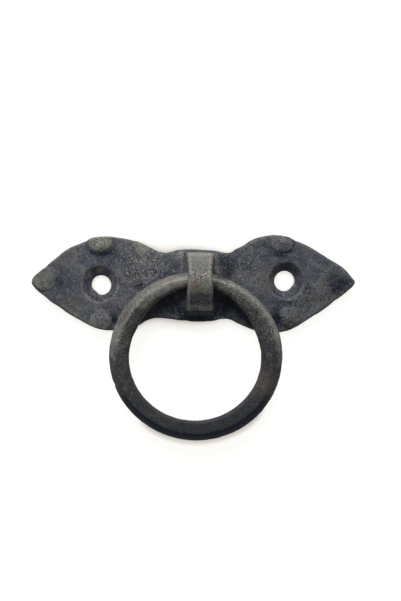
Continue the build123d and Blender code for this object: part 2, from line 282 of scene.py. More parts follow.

# Pellets as x, z, radius, rub on their tops, rub and painted light on their lower rims, painted
# shadow under them, and how often they are smoothed down
PELLETS = {
    "top_left": (-22.9, 10.9, 3.2, 0.75, 1.0, 0.8, 5),
    "top_right": (22.0, 10.6, 3.2, 0.35, 0.1, 0.5, 3),
    "left_tip": (-37.0, 0.9, 2.9, 0.4, 0.0, 0.0, 12),
    "bottom_left": (-22.8, -9.3, 2.8, 0.4, 0.0, 0.0, 9),
    "bottom_right": (24.0, -8.5, 2.6, 0.1, 0.2, 0.0, 6),
}
PELLET_MARGIN = 0.9

# Zones of a pellet, in shares of its radius: where its rubbed top ends, where its lower side begins
# and is full, and the middle and half width of its lower rim and of the painted shadow below it
PELLET_TOP = (-1.05, -0.75)
PELLET_LOWER_BEGINS = 0.1
PELLET_LOWER_FULL = 0.7
PELLET_RIM = (0.92, 0.11)
PELLET_SHADOW = (1.22, 0.16)

# Where the outline and the holes are off their true line, as x, z, radius, and moves in x and z
PUSHED = {
    "left_tip_top": (-37.6, 3.3, 2.2, 0.15, -0.25),
    "left_leaf_shoulder": (-30.6, 8.0, 4.0, -0.05, 0.55),
    "left_leaf_inner_shoulder": (-13.6, 10.0, 2.0, 0.0, 0.2),
    "left_notch": (-8.6, 7.8, 2.8, 0.0, 0.35),
    "waist_top_left": (-2.8, 8.3, 2.5, 0.0, 0.18),
    "waist_top": (0.6, 8.5, 2.0, 0.0, 0.22),
    "waist_top_right": (6.4, 7.7, 1.8, 0.0, 0.28),
    "right_notch": (10.4, 8.3, 1.4, 0.0, 0.2),
    "right_leaf_inner_shoulder": (12.6, 9.4, 1.8, 0.0, -0.33),
    "right_leaf_top": (24.3, 11.0, 2.4, 0.0, -0.38),
    "right_tip_top": (37.0, 3.2, 3.0, 0.12, 0.25),
    "right_leaf_top_edge": (29.6, 8.3, 2.5, 0.0, 0.15),
    "left_leaf_below": (-33.4, -5.8, 3.6, 0.0, 0.2),
    "right_leaf_below": (29.5, -8.2, 3.5, 0.0, 0.24),
    "right_tip_below": (35.5, -4.4, 3.5, 0.0, 0.24),
    "right_tip": (38.9, -1.3, 1.6, 0.0, 0.2),
    "waist_below_right": (11.5, -10.3, 2.5, 0.0, 0.17),
    "waist_below": (5.2, -9.5, 1.5, 0.0, -0.15),
    "left_hole": (-23.1, -0.3, 6.0, -0.12, -0.2),
    "right_hole": (23.1, 0.3, 6.0, 0.04, 0.32),
    "left_tip_below": (-37.5, -2.8, 2.0, 0.0, 0.12),
    "waist_below_left": (-11.6, -10.0, 2.4, 0.0, 0.4),
    "waist_below_middle": (-1.8, -9.6, 1.6, 0.0, 0.15),
    "left_hole_low_left": (-24.9, -2.2, 1.3, 0.25, 0.25),
    "right_hole_low_right": (24.9, -1.4, 1.3, -0.2, 0.15),
    "left_countersink_top": (-23.4, 4.3, 1.7, 0.0, 0.3),
    "left_countersink_top_left": (-26.5, 2.9, 1.9, -0.45, 0.4),
    "right_countersink_top": (24.0, 4.8, 1.8, 0.1, 0.35),
}
# The same for the sides of the strap
STRAP_PUSHED = {
    "left_side": (-1.1, 2.0, 2.8, 0.2, 0.0),
    "right_side": (4.8, 2.6, 2.8, -0.25, 0.0),
    "left_side_low": (-1.1, -5.0, 2.8, -0.2, 0.0),
}

# Hollows of the front as x, z, radius and depth, or height where it is below 0
HOLLOWS = {
    "foot_of_top_left_pellet": (-22.7, 8.9, 1.6, -0.2),
    "beside_left_tip_pellet": (-32.9, 0.4, 2.2, 0.25),
    "beside_top_left_pellet": (-18.4, 10.0, 1.7, 0.2),
    "below_top_left_pellet": (-22.6, 7.2, 1.5, 0.15),
    "right_of_waist": (8.7, 4.4, 2.6, 0.15),
    "left_of_bottom_right_pellet": (20.3, -8.4, 1.6, 0.2),
    "right_of_bottom_left_pellet": (-19.7, -7.6, 1.4, 0.2),
    "pit_in_bottom_right_pellet": (26.0, -8.7, 0.7, 0.35),
    "pit_left_of_strap": (-4.9, 3.6, 0.7, 0.25),
    "pit_left_of_ring": (-13.1, -0.8, 0.8, 0.25),
}

# Stains and painted shade (below 0), and rubbed spots and painted light (above 0), as x, z, radius
# and strength
TONE_SPOTS_WITH_PAINTED_LIGHT = {
    "right_tip": (37.4, -0.2, 2.6, -0.75),
    "left_of_right_tip": (34.2, 0.6, 2.8, -0.35),
    "below_right_tip": (34.8, -2.2, 2.0, -0.6),
    "right_leaf_middle": (27.8, -2.3, 2.4, -0.45),
    "right_leaf_below_hole": (24.7, -6.0, 2.0, -0.35),
    "right_leaf_low": (29.9, -5.3, 2.4, -0.35),
    "right_leaf_far": (31.6, -3.0, 2.0, -0.4),
    "above_the_ring_right": (8.3, 1.8, 1.8, -0.5),
    # Painted light on the countersinks' walls
    "left_countersink_top": (-23.1, 3.2, 1.8, 0.8),
    "right_countersink_below": (23.1, -3.0, 1.3, 0.35),
    "beside_foot": (-2.3, -8.1, 1.1, -0.7),
    "right_leaf_dark_middle": (29.2, -1.1, 1.6, -0.35),
    "beside_right_tip_low": (36.3, -2.1, 1.6, -0.4),
    "right_leaf_upper": (33.6, 2.8, 1.8, -0.3),
    "beside_left_hole_low": (-18.2, -1.2, 1.5, 0.35),
    "left_of_top_left_pellet": (-25.8, 9.3, 1.1, 0.4),
    # Painted light beside the strap, where its contact shade falls
    "beside_strap_left": (-2.3, 4.3, 1.2, 0.7),
    "beside_strap_right": (5.2, 3.8, 1.2, 0.8),
    "beside_strap_top_right": (5.5, 6.3, 1.2, 0.7),
    "top_left_pellet_right": (-20.3, 9.2, 1.1, 0.6),
    "top_left_pellet_below": (-22.4, 8.3, 1.1, 0.4),
    "bottom_left_pellet_left": (-24.9, -9.3, 1.5, 0.4),
    "left_of_right_hole": (19.0, 0.6, 1.3, 0.35),
    "right_of_left_hole_up": (-16.9, 4.1, 1.6, 0.3),
    # More painted light on the countersinks' walls
    "left_countersink_top_left": (-26.0, 2.6, 1.6, 0.6),
    "left_countersink_right": (-19.9, 1.4, 1.5, 0.4),
    "right_countersink_left": (20.0, 0.9, 1.6, 0.35),
    "bottom_right_pellet_low": (24.2, -10.2, 1.7, -0.7),
    # Painted light on the top left pellet's shaded lower slope, and painted shade on its lit top
    "top_left_pellet_low": (-22.9, 9.0, 1.4, 0.7),
    "top_left_pellet_top": (-22.9, 12.6, 1.6, -0.35),
    "above_waist_left": (-12.4, 7.6, 1.5, 0.45),
    "right_of_left_hole": (-18.9, -0.2, 1.3, 0.35),
    "beside_strap_foot": (-3.4, -7.4, 2.0, -0.5),
    "above_ring_left": (-8.5, 2.3, 2.0, -0.3),
    "right_leaf_inside": (14.9, 3.2, 2.0, -0.4),
    "above_left_tip_pellet": (-35.4, 4.0, 1.8, -0.35),
    "beside_left_tip_pellet": (-33.2, 0.0, 2.3, -0.6),
    "left_leaf_right_of_hole": (-15.6, 2.0, 2.2, -0.4),
    "left_leaf_beside_ring": (-13.2, -1.0, 1.6, -0.7),
    "beside_top_left_pellet": (-18.0, 10.2, 1.6, -0.3),
    # Painted shadow under the pellets
    "below_top_left_pellet": (-22.9, 7.1, 1.5, -0.35),
    "below_top_left_pellet_right": (-20.2, 7.7, 1.3, -0.5),
    "below_top_right_pellet": (21.6, 7.0, 1.5, -0.4),
    "left_of_top_right_pellet": (17.6, 9.0, 1.8, -0.4),
    "right_of_waist": (8.8, 4.4, 3.8, -0.65),
    "left_of_bottom_right_pellet": (20.6, -9.2, 2.2, -1.2),
    "above_bottom_right_pellet": (21.6, -5.7, 2.2, -0.5),
    "right_of_bottom_left_pellet": (-19.3, -9.0, 1.7, -1.1),
    "above_bottom_left_pellet": (-21.5, -6.3, 2.2, -0.3),
    # Painted shadow of the ring and strap, with grime, on the plate under them
    "under_the_ring_left": (-6.0, -5.8, 4.4, -0.5),
    "under_the_ring": (1.5, -8.4, 4.4, -1.0),
    "under_the_ring_right": (9.0, -5.8, 4.4, -0.75),
    "top_left_margin": (-13.4, 9.2, 2.8, 0.6),
    "top_left_margin_end": (-11.6, 7.6, 1.8, 0.35),
    "right_of_strap_foot": (6.9, -7.0, 1.8, -0.7),
    # Painted light in the ring's shadow
    "under_the_ring_far_right": (11.6, -5.2, 2.2, 0.5),
    "left_tip": (-38.8, 0.2, 1.6, 0.4),
    "left_lower_margin": (-29.0, -7.6, 1.6, 0.25),
    "right_lower_margin": (30.5, -6.4, 1.6, 0.2),
    # Painted light beside the strap's top, where its contact shade falls
    "beside_strap_top": (-2.8, 6.9, 1.8, 0.8),
    "top_right_leaf_root": (14.2, 8.9, 2.2, 0.35),
}

# Places where the casting is grainy with bright specks, as x, z, radius and strength
SPECKLED = {
    "left_leaf_root": (-10.0, 4.5, 6.0, 0.95),
    "beside_left_hole": (-16.5, 3.5, 5.5, 0.55),
    "top_left_pellet": (-22.9, 10.4, 3.4, 1.4),
    "strap_crest": (1.85, 1.6, 2.6, 1.5),
    "strap_foot": (1.85, -4.6, 3.0, 1.0),
    "top_right_pellet": (22.4, 9.6, 2.6, 0.7),
    "bottom_left_pellet": (-22.6, -9.3, 2.5, 0.4),
    "bottom_right_pellet": (24.0, -8.5, 2.5, 0.4),
    "right_leaf_root": (13.0, 4.0, 5.0, 0.6),
}
SPECKS_EVERYWHERE = 0.25
SPECKS_AT_MOST = 1.7

# Marks along straight lines, as x and z of both ends, half width and strength
LINES = {
    # A painted highlight on the edge of the pad beside the strap
    "beside_the_strap": (-4.15, -6.0, -4.15, -9.0, 0.16, 1.0),
    "above_bottom_right_pellet": (23.4, -4.9, 29.8, -6.2, 1.3, -0.2),
    "left_leaf_lower_edge": (-32.6, -5.6, -25.4, -10.3, 0.35, 0.5),
    "right_leaf_lower_edge": (27.0, -9.9, 37.5, -2.6, 0.35, 0.4),
    "left_of_strap_top": (-2.0, 7.0, -2.0, 3.5, 0.3, -0.5),
}

# Brown places, as x, z, radius and strength
RUSTY = {
    "strap": (0.9, -0.6, 1.6, 0.8),
    "bottom_right_pellet": (24.6, -9.6, 2.2, 0.08),
    "left_tip_pellet": (-37.6, 0.6, 2.6, 0.12),
    "top_right_pellet": (20.6, 10.8, 1.8, 0.12),
}

# Warm places (above 0) and cold blue ones (below 0), as x, z, radius and strength. The blue under
# the ring, under the top left pellet and in the countersinks is painted shade.
TINTS_WITH_PAINTED_SHADE = {
    "left_tip": (-38.2, 0.5, 3.4, 1.6),
    "top_left_pellet": (-22.9, 10.6, 3.4, 1.2),
    "bottom_left_pellet": (-23.0, -9.6, 3.4, 1.2),
    "left_leaf_below": (-30.0, -6.4, 4.0, 0.8),
    "beside_left_tip": (-31.5, 2.0, 4.5, -0.6),
    "below_top_left_pellet": (-22.6, 7.0, 2.4, -0.8),
    "top_left_margin": (-13.4, 9.0, 3.0, 0.6),
    "left_of_strap": (-4.2, 5.5, 2.6, -0.5),
    "right_of_strap": (8.6, 5.0, 4.4, -0.9),
    "under_the_ring_left": (-6.0, -5.4, 4.8, -1.6),
    "under_the_ring_right": (9.0, -5.4, 4.8, -1.6),
    "bottom_right_pellet": (24.4, -9.0, 3.2, 1.6),
    "left_of_bottom_right_pellet": (20.2, -8.8, 2.4, -0.8),
    "right_leaf": (30.5, 2.5, 6.0, 0.8),
    "right_leaf_below": (31.0, -5.0, 4.0, 0.6),
    "beside_right_tip": (36.2, -0.6, 2.6, -0.8),
    "right_countersink": (23.4, 2.6, 2.6, -1.3),
    "left_countersink": (-23.1, 2.8, 3.0, -2.2),
}

# Screw holes as x, z, the angle (anticlockwise from +X) at which their rims carry most rub and
# painted highlight, and how far the skin stands into them
HOLES = {"left": (-23.1, -0.3, -140, 0.05 * MM), "right": (23.1, 0.3, -50, -0.04 * MM)}

# Their countersinks, in millimetres from a hole's middle: what is skin of the hole, the rubbed rim
# with its rub all round and more rub and a painted highlight to one side, and the cone, darkened as
# painted shade in its recess and paler at its top than below, as painted light on its top wall
HOLE_REACH = 3.4
HOLE_RIM = 4.55
HOLE_RIM_WIDTH = 0.22
HOLE_RIM_RUB = 0.3
HOLE_RIM_SIDE_RUB_AND_HIGHLIGHT = 0.25
CONE_EDGE = (-4.4, -4.1)
CONE_PAINTED_SHADE = -0.25
CONE_PAINTED_SHADE_UP = 0.4

# The strap's middle, what is taken as strap beside it, and the height from which it is strap
STRAP_X = 1.85
STRAP_HALF_WIDTH = 4.2
STRAP_SKIN_HEIGHT = 2.95

# Tone of the strap at heights up its length, from its foot to its upper end. Its very dark foot is
# grime and painted shade; the bright band near its upper end is a painted highlight on its edge
STRAP_TONES = (
    (-8.4, -2.2),
    (-7.2, -2.4),
    (-6.7, 0.6),
    (-5.8, 0.75),
    (-4.9, 0.0),
    (-3.2, 0.05),
    (-2.3, 1.0),
    (-1.0, 0.9),
    (0.0, 0.6),
    (1.5, 0.55),
    (3.2, 0.45),
    (6.2, 0.6),
    (6.6, 1.1),
    (7.4, 0.8),
)

# Lines of rub and painted highlight along the strap's sides, which fade in from its foot upwards
STRAP_BORDER = 2.45
STRAP_BORDER_WIDTH = 0.17
STRAP_BORDER_FADES_IN = (-9.0, 1.0)
STRAP_BORDER_RUB_AND_HIGHLIGHT = 1.5
STRAP_BORDER_SPECKS = 1.0

# The strap is less mottled than the plate, and warmer
STRAP_CALM = 0.55
STRAP_TINT = 1.3

# How steeply round spots fade, where they end, as the square of a share of their radius, where
# straight marks end, as a share of their half width, and what each point keeps for the finish
SPOT_STEEPNESS = 1.5
SPOT_ENDS = 4
MARK_ENDS = 2.5
SKIN_MARKS = ("tone", "speckle", "rust", "tint", "calm")


def merged_copy(node):
    """Mesh of a CAD node with its loose triangles joined."""
    shape = bmesh.new()
    shape.from_mesh(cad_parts[node].data)
    bmesh.ops.remove_doubles(shape, verts=shape.verts, dist=JOINED_WITHIN)
    mesh = bpy.data.meshes.new(node + "_skin")
    shape.to_mesh(mesh)
    shape.free()
    return mesh


def soften(shape, verts, times, ways="xyz"):
    """Evens out vertices along the named axes, that many times."""
    axes = {"use_axis_" + axis: axis in ways for axis in "xyz"}
    for _ in range(times):
        bmesh.ops.smooth_vert(shape, verts=verts, factor=0.5, **axes)


def even_skin(node, grid, softening):
    """A CAD node's form as evenly spaced faces of about the grid's size, with softened edges."""
    piece = bpy.data.objects.new("skin", merged_copy(node))
    scene.collection.objects.link(piece)
    remesh = piece.modifiers.new("even", "REMESH")
    remesh.mode = "VOXEL"
    remesh.voxel_size = grid
    seen_by = bpy.context.evaluated_depsgraph_get()
    even = bpy.data.meshes.new_from_object(piece.evaluated_get(seen_by))
    bpy.data.objects.remove(piece)
    shape = bmesh.new()
    shape.from_mesh(even)
    soften(shape, shape.verts, softening)
    shape.normal_update()
    return shape


def waver(point, size, shares=(1.0, 0.5)):
    """Noise of that size and of each half of it, added up in those shares."""
    return sum(share * noise.noise(point * (2**step / size)) for step, share in enumerate(shares))


def roughen(shape, keep):
    """Dents and grain of a cast skin; keep(vertex) says how much of them a place gets."""
    moves = []
    for vertex in shape.verts:
        dents = waver(vertex.co, DENT_SIZE) * DENT_DEPTH
        grain = waver(vertex.co, GRAIN_SIZE) * GRAIN_DEPTH
        moves.append(vertex.normal * (dents + grain) * keep(vertex))
    for vertex, move in zip(shape.verts, moves):
        vertex.co += move
    shape.normal_update()


def mark_edges(shape):
    """Keeps how far each vertex stands over its neighbours (above 0) or below them (below 0)."""
    layer = shape.verts.layers.float.new("edges")
    shape.verts.index_update()
    raised = []
    for vertex in shape.verts:
        around = [edge.other_vert(vertex).co for edge in vertex.link_edges]
        middle = sum(around, Vector()) / len(around)
        raised.append((vertex.co - middle).dot(vertex.normal) / EDGE_REACH)
    for vertex in shape.verts:
        near = [raised[edge.other_vert(vertex).index] for edge in vertex.link_edges]
        vertex[layer] = (raised[vertex.index] + sum(near)) / (1 + len(near))


def spots(x, z, table):
    """Sum of the named round spots of a table at a point of the front, in millimetres."""
    total = 0.0
    for spot_x, spot_z, radius, strength in table.values():
        away = ((x - spot_x) ** 2 + (z - spot_z) ** 2) / radius**2
        if away < SPOT_ENDS:
            total += strength * math.exp(-away * SPOT_STEEPNESS)
    return total


def marks(x, z, table):
    """Sum of the named straight marks of a table at a point of the front, in millimetres."""
    total = 0.0
    for x1, z1, x2, z2, half_width, strength in table.values():
        length = (x2 - x1) ** 2 + (z2 - z1) ** 2
        share = min(1.0, max(0.0, ((x - x1) * (x2 - x1) + (z - z1) * (z2 - z1)) / length))
        away = math.hypot(x - x1 - share * (x2 - x1), z - z1 - share * (z2 - z1)) / half_width
        if away < MARK_ENDS:
            total += strength * math.exp(-away * away)
    return total


def pushed(x, z, table):
    """Sum of the named moves of a table at a point of the front, in millimetres."""
    move = Vector()
    for spot_x, spot_z, radius, move_x, move_z in table.values():
        away = ((x - spot_x) ** 2 + (z - spot_z) ** 2) / radius**2
        if away < SPOT_ENDS:
            move += Vector((move_x, 0, move_z)) * math.exp(-away * SPOT_STEEPNESS)
    return move


def band(value, middle, half_width):
    """1 in the middle of a soft line and 0 well away from it."""
    return math.exp(-(((value - middle) / half_width) ** 2))


def blend_in(value, low, high):
    """Goes smoothly from 0 to 1 as the value goes from low to high."""
    share = min(1.0, max(0.0, (value - low) / (high - low)))
    return share * share * (3 - 2 * share)


def along(value, table):
    """Value read from a table of (place, value) pairs, straight between its places."""
    for (low, first), (high, second) in zip(table, table[1:]):
        if value <= high:
            share = min(1.0, max(0.0, (value - low) / (high - low)))
            return first + (second - first) * share
    return table[-1][1]


def to_object(shape, name, body, node, finish):
    """The finished piece, smooth shaded, which stands for its CAD node and moves with its body."""
    mesh = bpy.data.meshes.new(name)
    shape.to_mesh(mesh)
    shape.free()
    for face in mesh.polygons:
        face.use_smooth = True
    mesh.materials.append(finish)
    piece = bpy.data.objects.new(name, mesh)
    scene.collection.objects.link(piece)
    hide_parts(node)
    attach(piece, body)


# Bluish black of soot and pores, and of painted shade
SOOT_AND_SHADE = (0.005, 0.0075, 0.014, 1)
SPECK = (0.32, 0.315, 0.29, 1)
RUST = (0.15, 0.105, 0.088, 1)

# Sizes of the finish's patterns, from broad to fine. The brushed one is turned and drawn out.
WARMTH_SIZE = 6.0 * MM
PATCH_SIZE = 5.0 * MM
BLOT_SIZE = 1.7 * MM
BRUSH_SIZE = 0.55 * MM
BRUSH_TURN = (0, 0.55, 0)
BRUSH_STRETCH = (0.16, 1, 1)
SKIN_GRAIN_SIZE = 0.5 * MM
FINE_GRAIN_SIZE = 0.3 * MM

# Where each layer of the finish begins and is full, and how much of it shows there
GREY = (0.36, 0.64)
WARM = (0.5, 0.66)
WARM_SHOWS = 0.6
COLD = (0.02, 0.14)
COLD_SHOWS = 0.5
SOOTY_GRAIN = (0.0, 0.16)
SOOTY_GRAIN_SHOWS = 0.7
SOOTED_AND_SHADED = (0.05, 1.0)
RUBBED_AND_LIT = (0.08, 1.15)
EDGE = (0.2, 1.0)
EDGE_GRAIN = (0.3, 0.55)
EDGE_SHOWS = 0.55
PORE = (0.0, 0.12)
PORE_SHOWS = (0.3, 0.55)
SPECKED = (0.58, 0.68)
SPECK_SHOWS = (0.25, 0.6)

# Values of the patterns below which cold places, sooty grain and pores lie
COLD_UNDER = 0.5
GRAIN_UNDER = 0.47

# Shares of the patterns in the mottling
PATCH_SHARE = 0.5
BLOT_SHARE = 0.35
BRUSH_SHARE = 0.15

# How strongly what a point keeps pulls on the patterns, how uneven they make rubbed and lit
# places, the relief of the grain, and how it and the rubbed and lit places change the gloss
TINT_PULL = 0.1
RUB_GRAIN = 1.3
RUB_BLOTS = 0.8
SPECKLE_PULL = 0.04
RELIEF = 1.1
SPECKLED_RELIEF = 0.7
RELIEF_STRENGTH = 0.7
RELIEF_DEPTH = 0.12 * MM
RUBBED_AND_LIT_SHINE = 0.1
GRAIN_SHINE = 0.3
RUBBED_AND_LIT_METAL = 0.1
IRON_SPECULAR = 0.08


def blackened_iron(name, black, grey, warm, cold, rubbed_and_lit, shine):
    """Mottled, grainy and specked black, paler where its tone is over 0 and darker under it."""
    # Its tone holds painted light and shade as well as wear and soot
    iron = Finish(bpy.data.materials.new(name))
    place = iron.node("ShaderNodeTexCoord", output="Object")

    def kept(attribute):
        """What each point of the skin keeps under that name."""
        return iron.node("ShaderNodeAttribute", {"attribute_name": attribute}, output="Fac")

    def cloud(size, detail, roughness=0.6, where=place):
        """Noise of about that size, with 0.5 as its middle."""
        inputs = {"Vector": where, "Scale": 1 / size, "Detail": detail, "Roughness": roughness}
        return iron.node("ShaderNodeTexNoise", None, inputs)

    tone = kept("tone")
    edges = kept("edges")
    speckle = kept("speckle")
    rust = kept("rust")
    uneven = 1 - kept("calm")
    patches = cloud(PATCH_SIZE, 5.0)
    blots = cloud(BLOT_SIZE, 4.0)
    warmth = cloud(WARMTH_SIZE, 3.0) + kept("tint") * TINT_PULL
    grain = cloud(SKIN_GRAIN_SIZE, 3.0, 0.7)
    fine = cloud(FINE_GRAIN_SIZE, 2.0)
    turned = iron.node("ShaderNodeMapping", None, {0: place, 2: BRUSH_TURN, 3: BRUSH_STRETCH})
    brushed = cloud(BRUSH_SIZE, 2.0, 0.5, turned)

    # The black itself: mottled grey, then warm and cold places, some cold ones painted shade, then
    # soot in its grain
    blend = patches * PATCH_SHARE + blots * BLOT_SHARE + brushed * BRUSH_SHARE
    mottle = 0.5 + (blend - 0.5) * uneven
    skin = iron.mix(mottle.rise(*GREY), black, grey)
    skin = iron.mix(warmth.rise(*WARM) * WARM_SHOWS, skin, warm)
    skin = iron.mix((COLD_UNDER - warmth).rise(*COLD) * COLD_SHOWS, skin, cold)
    skin = iron.mix((GRAIN_UNDER - grain).rise(*SOOTY_GRAIN) * SOOTY_GRAIN_SHOWS, skin, SOOT_AND_SHADE)

    # What wear and dirt have done to it, with painted light and shade: soot and painted shade,
    # rubbed places and painted light, rust and rubbed edges
    wear_and_light = tone + ((grain - 0.5) * RUB_GRAIN + (blots - 0.5) * RUB_BLOTS) * uneven
    skin = iron.mix((0 - wear_and_light).rise(*SOOTED_AND_SHADED), skin, SOOT_AND_SHADE)
    rub_and_light = wear_and_light.rise(*RUBBED_AND_LIT)
    skin = iron.mix(rub_and_light, skin, rubbed_and_lit)
    skin = iron.mix(rust, skin, RUST)
    line = edges.rise(*EDGE) * grain.rise(*EDGE_GRAIN)
    skin = iron.mix(line * EDGE_SHOWS, skin, rubbed_and_lit)

    # Its pores and bright specks, which show most where it is speckled
    least, speckled = PORE_SHOWS
    pores = (GRAIN_UNDER - fine).rise(*PORE) * (speckle * speckled + least)
    skin = iron.mix(pores, skin, SOOT_AND_SHADE)
    least, speckled = SPECK_SHOWS
    specks = (fine * 0.6 + grain * 0.4 + speckle * SPECKLE_PULL).rise(*SPECKED)
    skin = iron.mix(specks * (speckle * speckled + least), skin, SPECK)
    relief = (grain * 0.55 + fine * 0.45) * (RELIEF + SPECKLED_RELIEF * speckle)
    grainy = {"Strength": RELIEF_STRENGTH, "Distance": RELIEF_DEPTH, "Height": relief}
    inputs = {
        "Base Color": skin,
        "Roughness": shine - RUBBED_AND_LIT_SHINE * rub_and_light + (grain - 0.5) * GRAIN_SHINE,
        "Metallic": rub_and_light * RUBBED_AND_LIT_METAL,
        "Specular IOR Level": IRON_SPECULAR,
        "Normal": iron.node("ShaderNodeBump", inputs=grainy),
    }
    surface = iron.node("ShaderNodeBsdfPrincipled", inputs=inputs)
    iron.node("ShaderNodeOutputMaterial", inputs={"Surface": surface})
    return iron.owner


plate_finish = blackened_iron(
    "blackened_plate",
    black=(0.050, 0.054, 0.066, 1),
    grey=(0.110, 0.112, 0.119, 1),
    warm=(0.086, 0.078, 0.068, 1),
    cold=(0.036, 0.045, 0.064, 1),
    rubbed_and_lit=(0.185, 0.178, 0.152, 1),
    shine=0.6,
)

shape = even_skin("back_plate", SKIN_GRID, 1)
mark_edges(shape)
for x, z, radius, _, _, _, times in PELLETS.values():
    reach = radius + PELLET_MARGIN
    soft = []
    for vertex in shape.verts:
        away = math.hypot(vertex.co.x / MM - x, vertex.co.z / MM - z)
        if vertex.co.y < -FRONT_SKIN and away < reach:
            soft.append(vertex)
    soften(shape, soft, times, "y")
shape.normal_update()

tone, speckle, rust, tint, calm = (shape.verts.layers.float.new(mark) for mark in SKIN_MARKS)
for vertex in shape.verts:
    x, height, z = vertex.co.x / MM, -vertex.co.y / MM, vertex.co.z / MM
    front = blend_in(height, MARKS_BEGIN, MARKS_FULL)
    level = spots(x, z, TONE_SPOTS_WITH_PAINTED_LIGHT) + marks(x, z, LINES)
    for pellet_x, pellet_z, radius, top_rub, rim_rub_and_light, painted_shadow, _ in PELLETS.values():
        away = math.hypot(x - pellet_x, z - pellet_z) / radius
        below = blend_in(pellet_z - z, PELLET_LOWER_BEGINS * radius, PELLET_LOWER_FULL * radius)
        level += top_rub * blend_in(-away, *PELLET_TOP)
        # The lower rim gets rub and painted light, and a painted shadow falls below it
        level += rim_rub_and_light * below * band(away, *PELLET_RIM)
        level -= painted_shadow * below * band(away, *PELLET_SHADOW)
    for hole_x, hole_z, rubbed_and_lit_at, _ in HOLES.values():
        away = math.hypot(x - hole_x, z - hole_z)
        side = math.cos(math.atan2(z - hole_z, x - hole_x) - math.radians(rubbed_and_lit_at))
        rim = band(away, HOLE_RIM, HOLE_RIM_WIDTH) * (HOLE_RIM_RUB + HOLE_RIM_SIDE_RUB_AND_HIGHLIGHT * side)
        cone = CONE_PAINTED_SHADE + CONE_PAINTED_SHADE_UP * (z - hole_z) / HOLE_RIM
        level += rim + cone * blend_in(-away, *CONE_EDGE)
    if height > STRAP_SKIN_HEIGHT and abs(x - STRAP_X) < STRAP_HALF_WIDTH and z > STRAP_TONES[0][0]:
        border = band(abs(x - STRAP_X), STRAP_BORDER, STRAP_BORDER_WIDTH)
        faded_in = blend_in(z, *STRAP_BORDER_FADES_IN)
        level = along(z, STRAP_TONES) + STRAP_BORDER_RUB_AND_HIGHLIGHT * border * faded_in
        vertex[calm] = STRAP_CALM
        vertex[tint] = STRAP_TINT
    else:
        vertex[tint] = spots(x, z, TINTS_WITH_PAINTED_SHADE) * front
    vertex[tone] = level * front
    bright = SPECKS_EVERYWHERE + spots(x, z, SPECKLED)
    if vertex[calm]:
        bright += STRAP_BORDER_SPECKS * border
    vertex[speckle] = min(SPECKS_AT_MOST, bright) * front
    vertex[rust] = spots(x, z, RUSTY) * front
for vertex in shape.verts:
    point = vertex.co.copy()
    keep = blend_in(-point.y, BACK_KEPT_FLAT, 2 * BACK_KEPT_FLAT)
    wander_x = waver(point, WANDER_SIZE)
    wander_z = waver(point + WANDER_APART, WANDER_SIZE)
    shift = Vector((wander_x, 0, wander_z)) * (WANDER * keep)
    swell = PLATE_SWELL
    for hole_x, hole_z, _, hole_swell in HOLES.values():
        if math.hypot(point.x / MM - hole_x, point.z / MM - hole_z) < HOLE_REACH:
            swell = hole_swell
    shift += Vector((vertex.normal.x, 0, vertex.normal.z)) * swell
    on_plate = blend_in(point.y / MM, -STRAP_BEGINS, -PLATE_ENDS)
    shift += pushed(point.x / MM, point.z / MM, PUSHED) * MM * on_plate
    shift += pushed(point.x / MM, point.z / MM, STRAP_PUSHED) * MM * (1 - on_plate)
    shift.y = spots(point.x / MM, point.z / MM, HOLLOWS) * MM * max(0.0, -vertex.normal.y) * keep
    vertex.co += shift
shape.normal_update()


def plate_roughness(vertex):
    """All the dents on the front, fewer on the sides and none on the back."""
    flatness = max(SIDE_DENTS, abs(vertex.normal.y))
    return flatness * blend_in(-vertex.co.y, BACK_KEPT_FLAT, 2 * BACK_KEPT_FLAT)


roughen(shape, plate_roughness)
to_object(shape, "plate_casting", "plate", "back_plate", plate_finish)


# The ring: a cast bar, flat and drafted inside and bevelled outside, thinned where it turns in the
# strap. It is rubbed along its top and sides, with a painted highlight on its crest and painted
# sheen on its outer slope, sooty and in painted shade below, and its outer left edge has a nick.
RING_SOFTENING = 26
RING_DENTS = 0.6

# The inner side of the bar's top is smoothed down further: how often, from what height over the
# ring's middle, and within what distance of it
RING_TOP_SOFTENING = 30
RING_TOP_FROM = 6 * MM
RING_TOP_WITHIN = 18.6 * MM

# Swell of the bar in millimetres, at angles in degrees clockwise from its top
RING_SWELLS = (
    (0, 0.14),
    (15, 0.02),
    (30, -0.08),
    (50, 0.0),
    (78, 0.28),
    (95, 0.18),
    (135, 0.28),
    (180, 0.16),
    (215, 0.0),
    (250, 0.0),
    (285, 0.04),
    (360, 0.14),
)
# How far the bar's inner side stands further in, or out below 0, in millimetres, at the same angles
RING_INNER = (
    (0, 0.0),
    (12, 0.05),
    (20, 0.3),
    (50, 0.7),
    (66, 0.6),
    (75, 0.3),
    (85, 0.02),
    (105, -0.28),
    (120, -0.45),
    (150, -0.42),
    (180, -0.4),
    (210, -0.33),
    (240, -0.3),
    (262, -0.13),
    (275, 0.12),
    (285, 0.36),
    (295, 0.75),
    (310, 0.75),
    (340, 0.4),
    (353, 0.0),
    (360, 0.0),
)
# Radius of the crest line, rubbed and with a painted highlight, in millimetres, at the same angles
RING_CRESTS = (
    (0, 18.4),
    (30, 19.0),
    (60, 19.7),
    (90, 20.3),
    (180, 20.2),
    (270, 19.4),
    (300, 18.4),
    (330, 18.4),
    (360, 18.4),
)
RING_CREST_WIDTH = 0.3
RING_MIDDLE = Vector((0.65 * MM, -5.3 * MM, -17.5 * MM))

